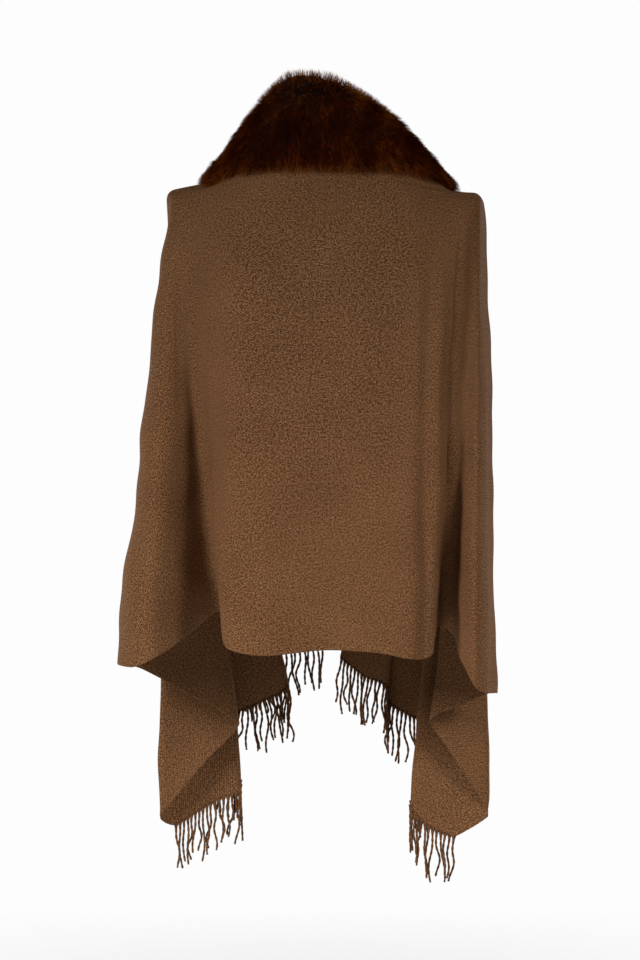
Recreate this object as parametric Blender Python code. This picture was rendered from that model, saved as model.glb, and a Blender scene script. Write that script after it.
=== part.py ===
"""Worn wool wrap with a fur collar, draped as one fringed rectangle over two shoulders.

Metres, +Z up. +Y is the wearer's front and +X the wearer's right, so the side that the
photograph shows, the back, faces -Y. The origin lies midway between the shoulders, at the
height where the cloth rests on them.
"""

import math
from collections import namedtuple

import bmesh
import bpy
import numpy as np

# Thickness of the cloth, and the gap where two of its stretches meet
WALL = 0.002
SEAM_GAP = 0.0003

# How finely the cloth is divided: quads between two folds, and along each run of a column
SUB_COLUMNS = 4
TOP_ROWS = 2
SHOULDER_ROWS = 3
HANG_ROWS = 7

# Fringe of twisted warp ends below a narrow heading
FRINGE_LENGTH = 0.072
FRINGE_UNEVEN = 0.12
FRINGE_LOCKS = 64
LOCK_WIDTH = 0.0026
LOCK_ROWS = 3
LOCK_TIP_SHARE = 0.6
HEADING_HEIGHT = 0.004
HEADING_GAP = 0.0006
HEADING_THICK = 0.0012
LOCK_CLEAR = 0.0004
LOCK_LEAN = 0.0015
LOCK_WAVE = 0.0012
LOCK_WAVES = 0.8

# Fur collar
COLLAR_SECTIONS = 35
COLLAR_RING = 12

# Each fold is a ruled line of the cloth from the shoulder to its lower end. The columns give
# that end: how far out from the centre plane, how far to the wearer's front, and how far down.
# opens and deepens are the powers with which the fold swings sideways, and to the front, on its
# way down: 1 is a straight line. soft is 1 for a round fold and smaller for a sharper one.
Fold = namedtuple("Fold", "name out front down opens deepens soft", defaults=(1.0, 1.0, 1.0))

CENTRE_BACK = Fold("centre_back", 0.000, -0.104, 0.620)

LEFT_FOLDS = (
    Fold("back_swell", 0.076, -0.118, 0.627),
    Fold("back_edge", 0.127, -0.105, 0.618),
    Fold("back_turn", 0.137, -0.078, 0.590, 1.4, 1.0),
    Fold("valley", 0.141, 0.006, 0.571, 1.4, 1.9),
    Fold("lobe_inner", 0.186, -0.042, 0.606, 1.0, 1.4),
    Fold("lobe_ridge", 0.243, -0.084, 0.640),
    Fold("lobe_outer", 0.279, -0.022, 0.643, 0.9, 0.9),
    Fold("return_outer", 0.250, 0.010, 0.650),
    Fold("return_middle", 0.189, 0.034, 0.684),
    Fold("first_inner_fold", 0.118, 0.065, 0.731, 1.0, 1.0, 0.45),
    Fold("second_layer", 0.164, 0.072, 0.785),
    Fold("first_outer_fold", 0.225, 0.062, 0.858, 1.0, 1.0, 0.5),
    Fold("corner", 0.207, 0.087, 0.872, 1.0, 1.0, 0.5),
    Fold("third_layer", 0.158, 0.101, 0.843),
    Fold("second_inner_fold", 0.112, 0.111, 0.817),
    Fold("fourth_layer", 0.161, 0.121, 0.787),
    Fold("second_outer_fold", 0.207, 0.133, 0.766),
    Fold("fifth_layer", 0.129, 0.145, 0.723),
    Fold("third_inner_fold", 0.052, 0.155, 0.685),
    Fold("sixth_layer", 0.087, 0.169, 0.665),
    Fold("third_outer_fold", 0.118, 0.183, 0.650),
    Fold("front_panel", 0.056, 0.192, 0.630),
    Fold("front_edge", 0.003, 0.182, 0.614),
)

RIGHT_FOLDS = (
    Fold("back_swell", 0.069, -0.110, 0.623),
    Fold("back_hollow", 0.114, -0.113, 0.631),
    Fold("back_edge", 0.141, -0.098, 0.630),
    Fold("back_turn", 0.150, -0.064, 0.606, 1.1, 1.6),
    Fold("valley", 0.168, -0.004, 0.596, 0.35, 3.0),
    Fold("lobe_inner", 0.186, -0.064, 0.636, 0.4, 1.0),
    Fold("lobe_ridge", 0.205, -0.090, 0.672, 0.8, 0.5),
    Fold("lobe_outer", 0.234, -0.024, 0.682, 0.45, 0.45),
    Fold("return_outer", 0.226, 0.006, 0.684, 0.7, 0.7),
    Fold("return_middle", 0.190, 0.020, 0.701),
    Fold("first_inner_fold", 0.148, 0.030, 0.722, 1.0, 1.0, 0.6),
    Fold("second_layer", 0.174, 0.050, 0.766),
    Fold("first_outer_fold", 0.230, 0.078, 0.856, 1.0, 1.0, 0.3),
    Fold("corner", 0.184, 0.080, 0.886, 1.0, 1.0, 0.3),
    Fold("third_layer", 0.150, 0.073, 0.873),
    Fold("second_inner_fold", 0.121, 0.070, 0.838),
    Fold("fourth_layer", 0.164, 0.092, 0.806),
    Fold("second_outer_fold", 0.209, 0.112, 0.777),
    Fold("fifth_layer", 0.160, 0.128, 0.742),
    Fold("third_inner_fold", 0.093, 0.146, 0.706),
    Fold("front_step", 0.088, 0.126, 0.680),
    Fold("front_panel", 0.058, 0.136, 0.668),
    Fold("front_edge", 0.025, 0.160, 0.643),
)

# The line where the collar is sewn on, from the centre back round the side of the neck to the
# front of the shoulder, and the line where the cloth leaves the wearer and starts to hang.
# share is the part of the folds passed. round is the length of cloth that bends there.
Station = namedtuple("Station", "share out front up round")

LEFT_NECK_LINE = (
    Station(0.00, 0.000, -0.072, 0.027, 0),
    Station(0.08, 0.080, -0.066, 0.024, 0),
    Station(0.18, 0.134, -0.040, 0.016, 0),
    Station(0.34, 0.155, -0.006, 0.012, 0),
    Station(0.60, 0.156, 0.034, 0.004, 0),
    Station(1.00, 0.146, 0.066, -0.033, 0),
)
LEFT_LEAVING_LINE = (
    Station(0.00, 0.000, -0.104, -0.070, 0.045),
    Station(0.08, 0.126, -0.100, -0.060, 0.040),
    Station(0.18, 0.183, -0.071, -0.044, 0.036),
    Station(0.32, 0.213, -0.036, -0.002, 0.013),
    Station(0.58, 0.205, 0.040, -0.020, 0.020),
    Station(0.80, 0.176, 0.072, -0.070, 0.035),
    Station(1.00, 0.142, 0.095, -0.115, 0.045),
)
RIGHT_NECK_LINE = (
    Station(0.00, 0.000, -0.072, 0.027, 0),
    Station(0.08, 0.088, -0.066, 0.024, 0),
    Station(0.18, 0.142, -0.042, 0.012, 0),
    Station(0.34, 0.172, -0.008, 0.002, 0),
    Station(0.60, 0.168, 0.034, -0.006, 0),
    Station(1.00, 0.152, 0.066, -0.038, 0),
)
RIGHT_LEAVING_LINE = (
    Station(0.00, 0.000, -0.104, -0.070, 0.045),
    Station(0.08, 0.130, -0.100, -0.064, 0.040),
    Station(0.18, 0.178, -0.093, -0.048, 0.042),
    Station(0.27, 0.203, -0.079, -0.027, 0.028),
    Station(0.34, 0.213, -0.040, -0.006, 0.014),
    Station(0.58, 0.205, 0.040, -0.026, 0.020),
    Station(0.80, 0.178, 0.072, -0.074, 0.035),
    Station(1.00, 0.146, 0.095, -0.120, 0.045),
)

# The far edge of the fur collar, which stands up at the nape and lies on the chest in front.
# share runs on past 1 down the front edge of the cloth, one for each FRONT_RUN, and thick is
# the fur's full depth.
Crest = namedtuple("Crest", "share out front up thick")

CENTRE_CREST = Crest(0.00, 0.021, -0.052, 0.158, 0.036)
LEFT_CREST = (
    Crest(0.08, 0.046, -0.042, 0.154, 0.036),
    Crest(0.18, 0.064, -0.010, 0.122, 0.034),
    Crest(0.34, 0.072, 0.028, 0.082, 0.034),
    Crest(0.60, 0.074, 0.070, 0.030, 0.034),
    Crest(1.00, 0.052, 0.106, -0.050, 0.032),
    Crest(1.24, 0.028, 0.128, -0.125, 0.030),
    Crest(1.50, 0.020, 0.142, -0.235, 0.030),
    Crest(1.70, 0.018, 0.150, -0.320, 0.028),
)
RIGHT_CREST = (
    Crest(0.08, 0.020, -0.042, 0.145, 0.036),
    Crest(0.18, 0.058, -0.010, 0.116, 0.034),
    Crest(0.34, 0.074, 0.028, 0.080, 0.034),
    Crest(0.60, 0.078, 0.070, 0.028, 0.034),
    Crest(1.00, 0.054, 0.106, -0.052, 0.032),
    Crest(1.24, 0.030, 0.128, -0.128, 0.030),
    Crest(1.50, 0.020, 0.142, -0.235, 0.030),
    Crest(1.70, 0.018, 0.150, -0.320, 0.028),
)
COLLAR_BOW = 0.004
COLLAR_FULLNESS = 0.8
COLLAR_SEAM = 0.0015
COLLAR_END_POWER = 14
COLLAR_END_LEAST = 0.04
FRONT_RUN = 0.42

WOOL = ("wool_twill", (0.089, 0.045, 0.021, 1.0), 0.92)
YARN = ("wool_fringe", (0.070, 0.034, 0.015, 1.0), 0.94)
FUR = ("fur_pile", (0.018, 0.005, 0.002, 1.0), 0.85)

SIDE_FOLDS = len(LEFT_FOLDS)
NODE_CUT = {"left": 4, "right": 4.5}
CORNER = {"left": 13, "right": 14}


def unit(vectors):
    """Vectors scaled to length one."""
    return vectors / np.linalg.norm(vectors, axis=-1, keepdims=True)


def across(left, centre, right):
    """Rows from the left front edge over the back to the right one, with out signed as x."""
    mirrored = [row._replace(out=-row.out) for row in reversed(left)]
    return mirrored + [centre] + list(right)


def places_of(rows):
    """The points that a table's out, front and up or down columns stand for."""
    heights = [row.up if hasattr(row, "up") else -row.down for row in rows]
    return np.array([(row.out, row.front, up) for row, up in zip(rows, heights)])


def smooth(points, steps, soft=1.0):
    """Points of a smooth curve through the given ones, at fractional row numbers.

    It is a cubic Hermite curve whose tangents are no longer than the shorter neighbour, so a
    tight fold next to a wide one doesn't swing out past it. soft is a share of that length, one
    for all rows or one for each.
    """
    chords = np.diff(points, axis=0)
    lengths = np.linalg.norm(chords, axis=1, keepdims=True)
    tangents = np.concatenate([chords[:1], chords[1:] + chords[:-1], chords[-1:]])
    tangents[1:-1] = unit(tangents[1:-1]) * np.minimum(lengths[1:], lengths[:-1])
    tangents = tangents * np.reshape(soft, (-1, 1))
    row = np.clip(np.floor(steps).astype(int), 0, len(chords) - 1)
    f = (steps - row)[:, None]
    start, end = points[row], points[row + 1]
    leave, arrive = tangents[row], tangents[row + 1]
    return ((2 * f**3 - 3 * f**2 + 1) * start + (f**3 - 2 * f**2 + f) * leave
            + (3 * f**2 - 2 * f**3) * end + (f**3 - f**2) * arrive)


def along(stations, shares):
    """Points of a station table's smooth curve at the given shares of the folds."""
    steps = np.interp(shares, [row.share for row in stations], np.arange(len(stations)))
    return smooth(places_of(stations), steps)


def signed(left, right):
    """One station table from two that start at the centre back, with shares from -1 to 1."""
    mirrored = [row._replace(share=-row.share, out=-row.out) for row in reversed(left[1:])]
    return mirrored + list(right)


def drape(sub_columns):
    """The middle surface of the draped cloth, as a grid of rows from neck to hem.

    Each column runs from the neck line to the leaving line, bends there on a short parabola, and
    hangs to its end. Its swing outwards grows with a power of the depth.
    """
    places = np.linspace(-SIDE_FOLDS, SIDE_FOLDS, 2 * SIDE_FOLDS * sub_columns + 1)
    folds = across(LEFT_FOLDS, CENTRE_BACK, RIGHT_FOLDS)
    ends = smooth(places_of(folds), places + SIDE_FOLDS, [row.soft for row in folds])
    powers = read_along(places + SIDE_FOLDS, np.arange(len(folds)),
                        np.array([(row.opens, row.deepens) for row in folds]))
    shares = places / SIDE_FOLDS
    neck = along(signed(LEFT_NECK_LINE, RIGHT_NECK_LINE), shares)
    leaving_line = signed(LEFT_LEAVING_LINE, RIGHT_LEAVING_LINE)
    leaving = along(leaving_line, shares)
    rounds = np.interp(shares, [row.share for row in leaving_line],
                       [row.round for row in leaving_line])[:, None]

    def hang(depth):
        """Points at a share of the way from the leaving line to the end."""
        swing = depth ** np.concatenate([powers, np.ones((len(powers), 1))], axis=1)
        return leaving + (ends - leaving) * swing

    bend_start = leaving + unit(neck - leaving) * rounds
    bend_depth = rounds / np.linalg.norm(ends - leaving, axis=1, keepdims=True)
    bend_end = hang(bend_depth)
    rows = [neck + (bend_start - neck) * j / TOP_ROWS for j in range(TOP_ROWS)]
    for j in range(SHOULDER_ROWS):
        f = j / SHOULDER_ROWS
        rows.append((1 - f)**2 * bend_start + 2 * f * (1 - f) * leaving + f**2 * bend_end)
    rows += [hang(bend_depth + (1 - bend_depth) * j / HANG_ROWS) for j in range(HANG_ROWS + 1)]
    return np.array(rows)


def outward(grid):
    """Unit normals of a grid, pointing away from the wearer."""
    return unit(np.cross(np.gradient(grid, axis=0), np.gradient(grid, axis=1)))


def material(finish):
    """A Principled BSDF with the finish's colour and roughness."""
    name, colour, roughness = finish
    made = bpy.data.materials.get(name) or bpy.data.materials.new(name)
    made.use_nodes = True
    shader = made.node_tree.nodes["Principled BSDF"]
    shader.inputs["Base Color"].default_value = colour
    shader.inputs["Roughness"].default_value = roughness
    return made


def add_piece(name, vertices, faces, finish, collection):
    """A mesh object of the wrap, with its faces turned outwards."""
    mesh = bpy.data.meshes.new(name)
    mesh.from_pydata([tuple(vertex) for vertex in vertices], [], faces)
    shape = bmesh.new()
    shape.from_mesh(mesh)
    bmesh.ops.recalc_face_normals(shape, faces=shape.faces)
    shape.to_mesh(mesh)
    shape.free()
    mesh.materials.append(material(finish))
    mesh.shade_smooth()
    piece = bpy.data.objects.new(name, mesh)
    collection.objects.link(piece)
    return piece


def wall(grid, normals):
    """Vertices and faces of a closed wall round a grid, cut along the same diagonals inside."""
    rows, columns = grid.shape[:2]
    outer = (grid + normals * WALL / 2).reshape(-1, 3)
    inner = (grid - normals * WALL / 2).reshape(-1, 3)
    inside = rows * columns

    def at(row, column):
        """Number of a vertex of the outer sheet."""
        return row * columns + column

    faces = []
    for row in range(rows - 1):
        for column in range(columns - 1):
            a, b = at(row, column), at(row, column + 1)
            c, d = at(row + 1, column + 1), at(row + 1, column)
            for face in ((a, b, c), (a, c, d)):
                faces.append(face)
                faces.append(tuple(vertex + inside for vertex in reversed(face)))
    rim = [at(0, column) for column in range(columns)]
    rim += [at(row, columns - 1) for row in range(1, rows)]
    rim += [at(rows - 1, column) for column in range(columns - 2, -1, -1)]
    rim += [at(row, 0) for row in range(rows - 2, 0, -1)]
    for start, end in zip(rim, rim[1:] + rim[:1]):
        near, far = (end + inside, start) if start < end else (start + inside, end)
        faces.append((end, start, near))
        faces.append((far, start + inside, end + inside))
    return np.concatenate([outer, inner]), faces


def cloth_stretch(grid, normals, first, last):
    """The wall of the columns from first to last, drawn back by half a seam gap at each cut."""
    points = grid[:, first:last + 1].copy()
    for edge, column, way in ((0, first, 1), (-1, last, -1)):
        if 0 < column < grid.shape[1] - 1:
            along_hem = unit(grid[:, column + 1] - grid[:, column - 1])
            points[:, edge] += along_hem * way * SEAM_GAP / 2
    return wall(points, normals[:, first:last + 1])


def lengths_along(points):
    """Distance from the first point to each one along a polyline."""
    return np.concatenate([[0], np.cumsum(np.linalg.norm(np.diff(points, axis=0), axis=1))])


def read_along(positions, knots, values):
    """Values read off between knots, for each of their coordinates."""
    return np.stack([np.interp(positions, knots, column) for column in values.T], axis=1)


def fringe(edge, falls, normals, seed):
    """Vertices and faces of a narrow heading with a row of hanging locks.

    The heading is a four-sided bar that follows the corners of the cut end. Short pieces of its
    underside are drawn down in steps, and make locks that wave a little and thin to their tips.
    Where the cut end runs steeply down a fold, the gap to the cloth is wider and the locks
    hang straighter.
    """
    random = np.random.default_rng(seed)
    knots = lengths_along(edge)
    pitch = knots[-1] / FRINGE_LOCKS
    middles = (np.arange(FRINGE_LOCKS) + 0.5) * pitch
    nearest = knots[np.abs(knots[:, None] - middles).argmin(axis=0)]
    room = LOCK_WIDTH / 2 + LOCK_CLEAR
    aside = np.where(middles < nearest, nearest - room, nearest + room)
    middles = np.where(np.abs(middles - nearest) < room, aside, middles)
    bounds = np.sort(np.concatenate([middles - LOCK_WIDTH / 2, middles + LOCK_WIDTH / 2,
                                     knots[1:-1]]))
    starts = np.searchsorted(bounds, middles) - 1
    points = read_along(bounds, knots, edge)
    down = unit(read_along(bounds, knots, falls))
    out = unit(read_along(bounds, knots, normals))
    steep = np.abs((unit(np.diff(edge, axis=0)) * unit(falls[1:] + falls[:-1])).sum(axis=1))
    steep = np.maximum(np.append(steep, 0), np.insert(steep, 0, 0))
    free = np.interp(bounds, knots, 1 - steep ** 2)[:, None]
    top = points + down * HEADING_GAP / free
    low = top + down * HEADING_HEIGHT
    half = out * HEADING_THICK / 2
    corners = np.stack([top + half, top - half, low - half, low + half], axis=1)
    vertices = list(corners.reshape(-1, 3))
    faces = [(3, 2, 1, 0)]
    for step in range(len(bounds) - 1):
        near, far = 4 * step, 4 * step + 4
        sides = [(near + k, near + (k + 1) % 4, far + (k + 1) % 4, far + k) for k in range(4)]
        if step in starts:
            sides.pop(2)
        faces += sides
    faces.append(tuple(4 * len(bounds) - 4 + k for k in range(4)))
    for start in starts:
        near = 4 * start
        fall = down[start] / -down[start][2]
        ring = [near + 3, near + 2, near + 6, near + 7]
        root = np.array([vertices[k] for k in ring])
        middle = root.mean(axis=0)
        length = FRINGE_LENGTH * random.uniform(1 - FRINGE_UNEVEN, 1 + FRINGE_UNEVEN)
        lean = random.uniform(-1, 1, 2) * LOCK_LEAN * free[start]
        phase = random.uniform(0, 2 * math.pi)
        for row in range(1, LOCK_ROWS + 1):
            f = row / LOCK_ROWS
            wave = LOCK_WAVE * free[start, 0] * math.sin(phase + LOCK_WAVES * 2 * math.pi * f)
            shift = fall * length * f + np.array([lean[0] * f + wave, lean[1] * f, 0])
            size = 1 + (LOCK_TIP_SHARE - 1) * f
            flat = root - middle
            flat[:, 2] *= 1 - f
            new = [len(vertices) + k for k in range(4)]
            vertices += list(middle + shift + flat * size)
            faces += [(ring[k], ring[(k + 1) % 4], new[(k + 1) % 4], new[k]) for k in range(4)]
            ring = new
        faces.append(tuple(ring))
    return vertices, faces


def fur_collar(grid):
    """Vertices and faces of the collar, swept along the sewn edge between seam and crest.

    Each section is a flat oval from the seam to the crest, bowed outwards.
    """
    left = grid[::-1, 0]
    right = grid[:, -1]
    seam = np.concatenate([left[:-1], grid[0], right[1:]])
    shares = np.concatenate([-1 - lengths_along(grid[:, 0])[:0:-1] / FRONT_RUN,
                             np.linspace(-1, 1, grid.shape[1]),
                             1 + lengths_along(right)[1:] / FRONT_RUN])
    crests = [row._replace(share=-row.share, out=-row.out) for row in reversed(LEFT_CREST)]
    crests += [CENTRE_CREST._replace(out=-CENTRE_CREST.out)] + list(RIGHT_CREST)
    reach = np.linspace(crests[0].share, crests[-1].share, COLLAR_SECTIONS)
    base = read_along(reach, shares, seam)
    crest = along(crests, reach)
    thick = np.interp(reach, [row.share for row in crests], [row.thick for row in crests])
    axis = unit(crest - base)
    base = base + axis * COLLAR_SEAM
    width = np.linalg.norm(crest - base, axis=1)
    path = np.gradient((base + crest) / 2, axis=0)
    out = unit(np.cross(path, axis))
    vertices = []
    end_round = np.sqrt(1 - (np.abs(reach) / reach[-1]) ** COLLAR_END_POWER + COLLAR_END_LEAST)
    for k in range(COLLAR_SECTIONS):
        turns = np.arange(COLLAR_RING) / COLLAR_RING * 2 * math.pi
        across_part = np.cos(turns)[:, None]
        deep = np.sign(np.sin(turns)) * np.abs(np.sin(turns)) ** COLLAR_FULLNESS
        size = min(1.0, end_round[k])
        middle = (base[k] + crest[k]) / 2 + out[k] * COLLAR_BOW * (1 - across_part ** 2)
        vertices += list(middle + axis[k] * across_part * width[k] / 2 * size
                         + out[k] * deep[:, None] * thick[k] / 2 * size)
    faces = [tuple(range(COLLAR_RING))]
    for k in range(COLLAR_SECTIONS - 1):
        for j in range(COLLAR_RING):
            a, b = k * COLLAR_RING + j, k * COLLAR_RING + (j + 1) % COLLAR_RING
            faces.append((a, a + COLLAR_RING, b + COLLAR_RING, b))
    faces.append(tuple(range(len(vertices) - COLLAR_RING, len(vertices)))[::-1])
    return vertices, faces


def main():
    """Build every piece of the wrap."""
    for old in list(bpy.data.objects):
        bpy.data.objects.remove(old)
    wrap = bpy.data.collections.new("fur_collared_wrap")
    bpy.context.scene.collection.children.link(wrap)

    grid = drape(SUB_COLUMNS)
    normals = outward(grid)
    centre = SIDE_FOLDS * SUB_COLUMNS
    last = 2 * centre
    left_cut = centre - round(NODE_CUT["left"] * SUB_COLUMNS)
    right_cut = centre + round(NODE_CUT["right"] * SUB_COLUMNS)
    add_piece("cloth_back", *cloth_stretch(grid, normals, left_cut, right_cut), WOOL, wrap)
    add_piece("cloth_left_front", *cloth_stretch(grid, normals, 0, left_cut), WOOL, wrap)
    add_piece("cloth_right_front", *cloth_stretch(grid, normals, right_cut, last), WOOL, wrap)

    left_corner = centre - CORNER["left"] * SUB_COLUMNS
    right_corner = centre + CORNER["right"] * SUB_COLUMNS
    falls = grid[-1] - grid[-2]
    for name, columns, seed in (("fringe_left", slice(0, left_corner + 1), 3),
                                ("fringe_right", slice(right_corner, last + 1), 5)):
        add_piece(name, *fringe(grid[-1, columns], falls[columns], normals[-1, columns], seed),
                  YARN, wrap)
    add_piece("fur_collar", *fur_collar(grid), FUR, wrap)


main()
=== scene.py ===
"""Worn wool wrap with a fur collar and twisted fringe, seen from the back.

The cloth is one fringed rectangle of melange twill, hung over two shoulders. Its drape is a
table of folds, each a ruled line of the cloth from the shoulder to its lower end, and every
surface is worked out from those lines as whole arrays. Metres, +Z up, wearer's front at +Y.
"""

import logging
import math
from dataclasses import dataclass
from enum import Enum
from typing import NamedTuple, Sequence

import bpy
import numpy as np
from bpy.types import Material, Node, NodeSocket, NodeTree, Object
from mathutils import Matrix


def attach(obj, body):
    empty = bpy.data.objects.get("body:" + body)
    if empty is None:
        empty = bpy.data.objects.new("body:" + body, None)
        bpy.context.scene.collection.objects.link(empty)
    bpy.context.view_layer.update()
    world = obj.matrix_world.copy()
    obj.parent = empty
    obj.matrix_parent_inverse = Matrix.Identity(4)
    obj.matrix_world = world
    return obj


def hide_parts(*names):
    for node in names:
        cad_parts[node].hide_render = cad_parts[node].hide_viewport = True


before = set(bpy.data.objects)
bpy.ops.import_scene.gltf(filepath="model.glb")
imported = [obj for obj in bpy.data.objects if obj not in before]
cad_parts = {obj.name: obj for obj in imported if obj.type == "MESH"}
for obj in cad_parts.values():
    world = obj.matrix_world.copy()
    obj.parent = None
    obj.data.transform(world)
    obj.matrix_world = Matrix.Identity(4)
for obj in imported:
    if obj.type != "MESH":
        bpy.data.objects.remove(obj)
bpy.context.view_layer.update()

LOG = logging.getLogger("wrap")
UV_NAME = "cut"


class Side(Enum):
    """Which side of the wearer, as seen from behind, with the sign of its x."""

    LEFT = -1
    RIGHT = 1


class Fold(NamedTuple):
    """Lower end of one fold: out from the centre plane, to the front, and down, in metres.

    opens and deepens are the powers with which the fold swings sideways, and to the front, on
    its way down. soft is 1 for a round fold and smaller for a sharper one.
    """

    name: str
    out: float
    front: float
    down: float
    opens: float = 1.0
    deepens: float = 1.0
    soft: float = 1.0


class Station(NamedTuple):
    """A point of a line across the cloth, at a share of the folds from the centre back."""

    share: float
    out: float
    front: float
    up: float
    bend: float = 0.0


class Crest(NamedTuple):
    """A point of the collar's free edge, with the full depth of the fur there."""

    share: float
    out: float
    front: float
    up: float
    thick: float


class Crease(NamedTuple):
    """A soft ridge, or a trough where height is below 0, that runs down the cloth.

    place counts folds from the centre back and is below 0 on the left. top and low are shares
    of the way from the neck edge to the lower end. width is in folds and height in millimetres.
    """

    place: float
    top: float
    low: float
    width: float
    height: float


CENTRE_BACK = Fold("centre_back", 0.000, -0.104, 0.620)
LEFT_FOLDS = (
    Fold("back_swell", 0.076, -0.118, 0.627),
    Fold("back_edge", 0.127, -0.105, 0.618),
    Fold("back_turn", 0.137, -0.078, 0.590, 1.4, 1.0),
    Fold("valley", 0.141, 0.006, 0.571, 1.4, 1.9),
    Fold("lobe_inner", 0.186, -0.042, 0.606, 1.0, 1.4),
    Fold("lobe_ridge", 0.243, -0.084, 0.640),
    Fold("lobe_outer", 0.279, -0.022, 0.643, 0.9, 0.9),
    Fold("return_outer", 0.250, 0.010, 0.650),
    Fold("return_middle", 0.189, 0.034, 0.684),
    Fold("first_inner_fold", 0.118, 0.065, 0.731, soft=0.45),
    Fold("second_layer", 0.164, 0.072, 0.785),
    Fold("first_outer_fold", 0.225, 0.062, 0.858, soft=0.5),
    Fold("corner", 0.207, 0.087, 0.872, soft=0.5),
    Fold("third_layer", 0.158, 0.101, 0.843),
    Fold("second_inner_fold", 0.112, 0.111, 0.817),
    Fold("fourth_layer", 0.161, 0.121, 0.787),
    Fold("second_outer_fold", 0.207, 0.133, 0.766),
    Fold("fifth_layer", 0.129, 0.145, 0.723),
    Fold("third_inner_fold", 0.052, 0.155, 0.685),
    Fold("sixth_layer", 0.087, 0.169, 0.665),
    Fold("third_outer_fold", 0.118, 0.183, 0.650),
    Fold("front_panel", 0.056, 0.192, 0.630),
    Fold("front_edge", 0.003, 0.182, 0.614),
)
RIGHT_FOLDS = (
    Fold("back_swell", 0.069, -0.110, 0.623),
    Fold("back_hollow", 0.114, -0.113, 0.631),
    Fold("back_edge", 0.141, -0.098, 0.630),
    Fold("back_turn", 0.150, -0.064, 0.606, 1.1, 1.6),
    Fold("valley", 0.168, -0.004, 0.596, 0.35, 3.0),
    Fold("lobe_inner", 0.186, -0.064, 0.636, 0.4, 1.0),
    Fold("lobe_ridge", 0.205, -0.090, 0.672, 0.8, 0.5),
    Fold("lobe_outer", 0.234, -0.024, 0.682, 0.45, 0.45),
    Fold("return_outer", 0.226, 0.006, 0.684, 0.7, 0.7),
    Fold("return_middle", 0.190, 0.020, 0.701),
    Fold("first_inner_fold", 0.148, 0.030, 0.722, soft=0.6),
    Fold("second_layer", 0.174, 0.050, 0.766),
    Fold("first_outer_fold", 0.230, 0.078, 0.856, soft=0.3),
    Fold("corner", 0.184, 0.080, 0.886, soft=0.3),
    Fold("third_layer", 0.150, 0.073, 0.873),
    Fold("second_inner_fold", 0.121, 0.070, 0.838),
    Fold("fourth_layer", 0.164, 0.092, 0.806),
    Fold("second_outer_fold", 0.209, 0.112, 0.777),
    Fold("fifth_layer", 0.160, 0.128, 0.742),
    Fold("third_inner_fold", 0.093, 0.146, 0.706),
    Fold("front_step", 0.088, 0.126, 0.680),
    Fold("front_panel", 0.058, 0.136, 0.668),
    Fold("front_edge", 0.025, 0.160, 0.643),
)

LEFT_NECK = (
    Station(0.00, 0.000, -0.072, 0.027),
    Station(0.08, 0.080, -0.066, 0.024),
    Station(0.18, 0.134, -0.040, 0.016),
    Station(0.34, 0.155, -0.006, 0.012),
    Station(0.60, 0.156, 0.034, 0.004),
    Station(1.00, 0.146, 0.066, -0.033),
)
RIGHT_NECK = (
    Station(0.00, 0.000, -0.072, 0.027),
    Station(0.08, 0.088, -0.066, 0.024),
    Station(0.18, 0.142, -0.042, 0.012),
    Station(0.34, 0.172, -0.008, 0.002),
    Station(0.60, 0.168, 0.034, -0.006),
    Station(1.00, 0.152, 0.066, -0.038),
)
LEFT_LEAVING = (
    Station(0.00, 0.000, -0.104, -0.070, 0.045),
    Station(0.08, 0.126, -0.100, -0.060, 0.040),
    Station(0.18, 0.183, -0.071, -0.044, 0.036),
    Station(0.32, 0.213, -0.036, -0.002, 0.013),
    Station(0.58, 0.205, 0.040, -0.020, 0.020),
    Station(0.80, 0.176, 0.072, -0.070, 0.035),
    Station(1.00, 0.142, 0.095, -0.115, 0.045),
)
RIGHT_LEAVING = (
    Station(0.00, 0.000, -0.104, -0.070, 0.045),
    Station(0.08, 0.130, -0.100, -0.064, 0.040),
    Station(0.18, 0.178, -0.093, -0.048, 0.042),
    Station(0.27, 0.203, -0.079, -0.027, 0.028),
    Station(0.34, 0.213, -0.040, -0.006, 0.014),
    Station(0.58, 0.205, 0.040, -0.026, 0.020),
    Station(0.80, 0.178, 0.072, -0.074, 0.035),
    Station(1.00, 0.146, 0.095, -0.120, 0.045),
)

CENTRE_CREST = Crest(0.00, 0.021, -0.052, 0.158, 0.036)
LEFT_CREST = (
    Crest(0.08, 0.046, -0.042, 0.154, 0.036),
    Crest(0.18, 0.064, -0.010, 0.122, 0.034),
    Crest(0.34, 0.072, 0.028, 0.082, 0.034),
    Crest(0.60, 0.074, 0.070, 0.030, 0.034),
    Crest(1.00, 0.052, 0.106, -0.050, 0.032),
    Crest(1.24, 0.028, 0.128, -0.125, 0.030),
    Crest(1.50, 0.020, 0.142, -0.235, 0.030),
    Crest(1.70, 0.018, 0.150, -0.320, 0.028),
)
RIGHT_CREST = (
    Crest(0.08, 0.020, -0.042, 0.145, 0.036),
    Crest(0.18, 0.058, -0.010, 0.116, 0.034),
    Crest(0.34, 0.074, 0.028, 0.080, 0.034),
    Crest(0.60, 0.078, 0.070, 0.028, 0.034),
    Crest(1.00, 0.054, 0.106, -0.052, 0.032),
    Crest(1.24, 0.030, 0.128, -0.128, 0.030),
    Crest(1.50, 0.020, 0.142, -0.235, 0.030),
    Crest(1.70, 0.018, 0.150, -0.320, 0.028),
)

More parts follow.
